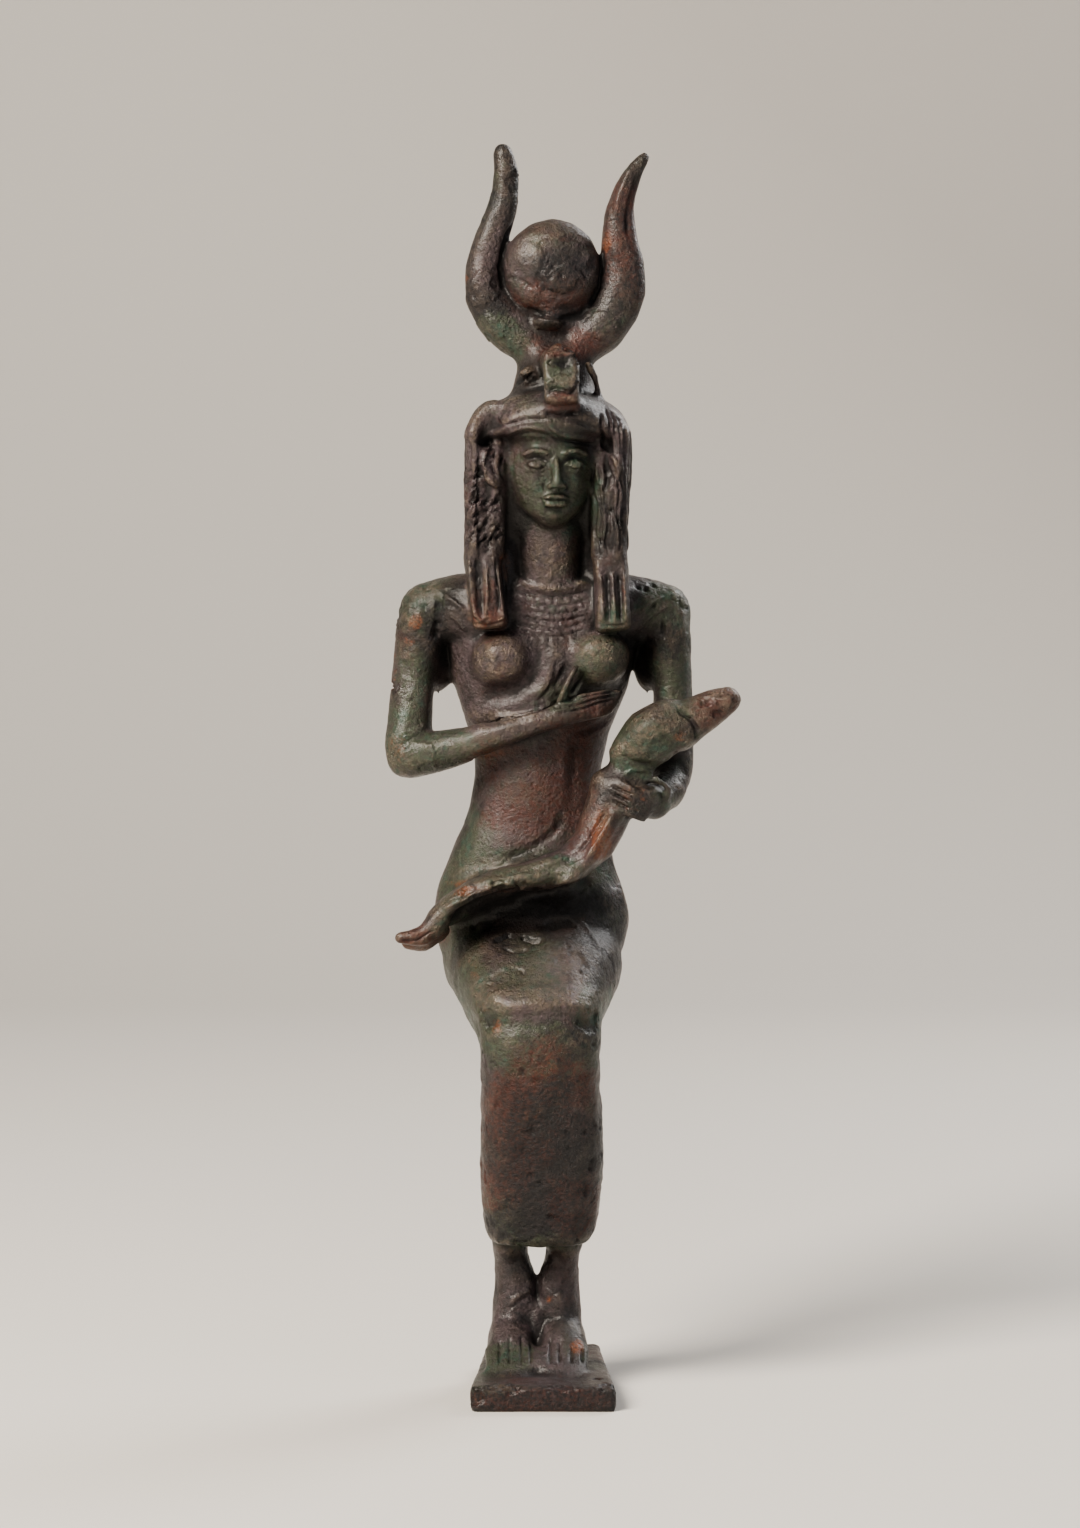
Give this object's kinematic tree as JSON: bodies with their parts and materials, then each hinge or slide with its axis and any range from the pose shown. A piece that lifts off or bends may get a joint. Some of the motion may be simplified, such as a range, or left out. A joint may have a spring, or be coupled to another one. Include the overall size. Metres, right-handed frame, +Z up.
{
  "type": "isis and horus figure",
  "caption": "Small cast bronze statuette of a seated goddess with cow horns and a sun disc, nursing a child on her lap, held up by the thin slab under her feet.",
  "frame": {"origin": "centre of the slab's underside, on the surface that the figure stands on", "axes": "+Z up through the figure, -Y the way she faces, +X to the right as seen from the front"},
  "size_m": [0.0576, 0.043, 0.2002],
  "materials": {
    "bronze": "cast tin bronze, corroded to dark brown and green, with worn glossy high spots"
  },
  "bodies": {
    "root": {"isis_and_horus": "bronze"}
  },
  "joints": []
}
